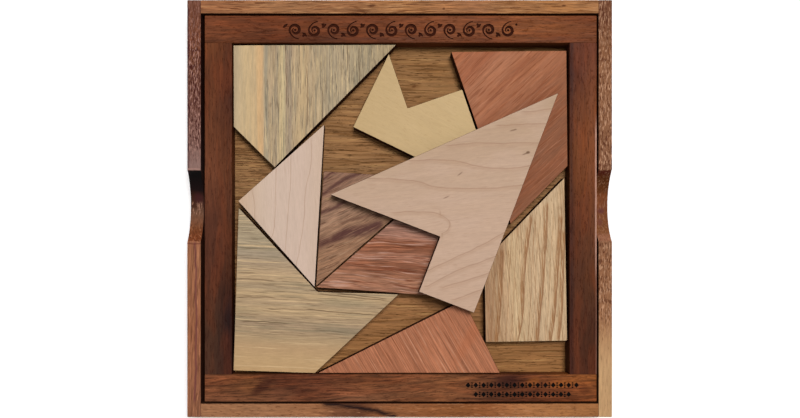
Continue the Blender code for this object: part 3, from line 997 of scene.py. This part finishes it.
def refine(node, wood, side=None, engraving=None, glued=None):
    """Replace a CAD node by a finer piece of the same shape, in its own wood.

    glued is the axis, 0 or 1, along which the piece meets two others end on. engraving is the shapes
    to cut into its top and the material of the cuts.
    """
    piece = piece_from(node, node + "_wood")
    piece.data.materials.append(wood)
    if glued is not None:
        close_joints(piece, glued)
    if engraving:
        carve(piece, *engraving)
    add_surface(piece)
    mesh = piece.data
    if side:
        mesh.materials.append(side)
        for polygon in mesh.polygons:
            polygon.material_index = 1 if abs(polygon.normal.z) < BEVEL_STOP else 0
    mesh.shade_smooth()
    mesh.set_sharp_from_angle(angle=SMOOTH_ANGLE)
    weighted = piece.modifiers.new("even_faces", "WEIGHTED_NORMAL")
    weighted.keep_sharp = True
    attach(piece, frame["nodes"][node]["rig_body"])
    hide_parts(node)


def make_case():
    refine("case_wall_left", case_left_wood())
    refine("case_wall_right", case_right_wood())
    refine("case_wall_back", case_back_wood(), glued=0)
    refine("case_wall_front", case_front_wood(), glued=0)
    refine("case_panel", case_panel_wood())


def rail_middle(node):
    low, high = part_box(node)
    return ((low + high) / 2 * PER_METRE).to_2d()


def make_tray():
    refine("tray_base", floor_oak())
    refine("tray_rail_left", left_rail_wood(), glued=1)
    refine("tray_rail_right", right_rail_wood(), glued=1)
    brown = burnt("burnt_brown", (62, 37, 21))
    band = scroll_band(rail_middle("tray_rail_back") - Vector((0, BAND_DROP)))
    refine("tray_rail_back", back_rail_wood(), engraving=(band, brown))
    black = burnt("burnt_black", (18, 11, 10))
    middle = rail_middle("tray_rail_front")
    rows = [shape for place, count in MARK_ROWS for shape in mark_row(middle + Vector(place), count)]
    refine("tray_rail_front", front_rail_wood(), engraving=(rows, black))


def make_tiles():
    side = charred_side()
    for node, slot, wood in (
            ("tile_spalted_cut_triangle", "spalted_maple", spalted_back_wood),
            ("tile_spalted_pentagon", "spalted_maple", spalted_front_wood),
            ("tile_maple_triangle", "maple", maple_triangle_wood),
            ("tile_maple_arrowhead", "maple", arrowhead_wood),
            ("tile_ash_trapezoid", "ash", ash_wood),
            ("tile_salmon_wedge", "salmon", salmon_wedge_wood),
            ("tile_salmon_triangle", "salmon", salmon_triangle_wood),
            ("tile_cream_notched", "cream", cream_wood),
            ("tile_walnut_triangle", "walnut", walnut_wood),
            ("tile_red_cut_triangle", "red", red_wood)):
        refine(node, wood(), side)


# ---------- stage

def make_camera():
    data = bpy.data.cameras.new("camera")
    data.sensor_width = SENSOR
    data.lens = SENSOR * CAMERA_HEIGHT / FRAMED_WIDTH
    data.shift_x = (FRAMED_CENTRE[0] - CAMERA_FOOT[0]) / FRAMED_WIDTH
    data.shift_y = (FRAMED_CENTRE[1] - CAMERA_FOOT[1]) / FRAMED_WIDTH
    data.clip_start = 10 * MM
    camera = bpy.data.objects.new("camera", data)
    camera.location = (*CAMERA_FOOT, RIM * MM + CAMERA_HEIGHT)
    bpy.context.scene.collection.objects.link(camera)
    bpy.context.scene.camera = camera


def make_light(name, location, size, power):
    """A large soft lamp that faces the object."""
    data = bpy.data.lights.new(name, "AREA")
    data.shape = "RECTANGLE"
    data.size, data.size_y = size
    data.energy = power
    lamp = bpy.data.objects.new(name, data)
    lamp.location = location
    lamp.rotation_euler = (-Vector(location)).to_track_quat("-Z", "Y").to_euler()
    bpy.context.scene.collection.objects.link(lamp)


def make_world():
    """White surroundings, brighter towards the horizon as in a studio with a pale backdrop."""
    world = bpy.data.worlds.new("studio")
    world.use_nodes = True
    tree = world.node_tree
    backdrop = tree.nodes["Background"]
    backdrop.inputs["Color"].default_value = (1, 1, 1, 1)
    direction = tree.nodes.new("ShaderNodeTexCoord")
    parts = tree.nodes.new("ShaderNodeSeparateXYZ")
    level = tree.nodes.new("ShaderNodeMapRange")
    level.inputs["From Max"].default_value = BACKDROP_RISE
    level.inputs["To Min"].default_value = HORIZON_LEVEL
    level.inputs["To Max"].default_value = WORLD_LEVEL
    tree.links.new(direction.outputs["Generated"], parts.inputs[0])
    tree.links.new(parts.outputs["Z"], level.inputs["Value"])
    tree.links.new(level.outputs[0], backdrop.inputs["Strength"])
    bpy.context.scene.world = world


def make_stage():
    mesh = bpy.data.meshes.new("studio_floor")
    bm = bmesh.new()
    bmesh.ops.create_grid(bm, x_segments=8, y_segments=8, size=FLOOR_REACH)
    bm.to_mesh(mesh)
    bm.free()
    mesh.materials.append(studio_floor())
    floor = bpy.data.objects.new("studio_floor", mesh)
    floor.location.z = -FLOOR_DROP
    bpy.context.scene.collection.objects.link(floor)
    make_light("key_light", KEY_PLACE, KEY_SIZE, KEY_POWER)
    make_light("fill_light", FILL_PLACE, FILL_SIZE, FILL_POWER)
    make_world()
    bpy.context.scene.view_settings.view_transform = "Standard"


make_case()
make_tray()
make_tiles()
make_stage()
make_camera()
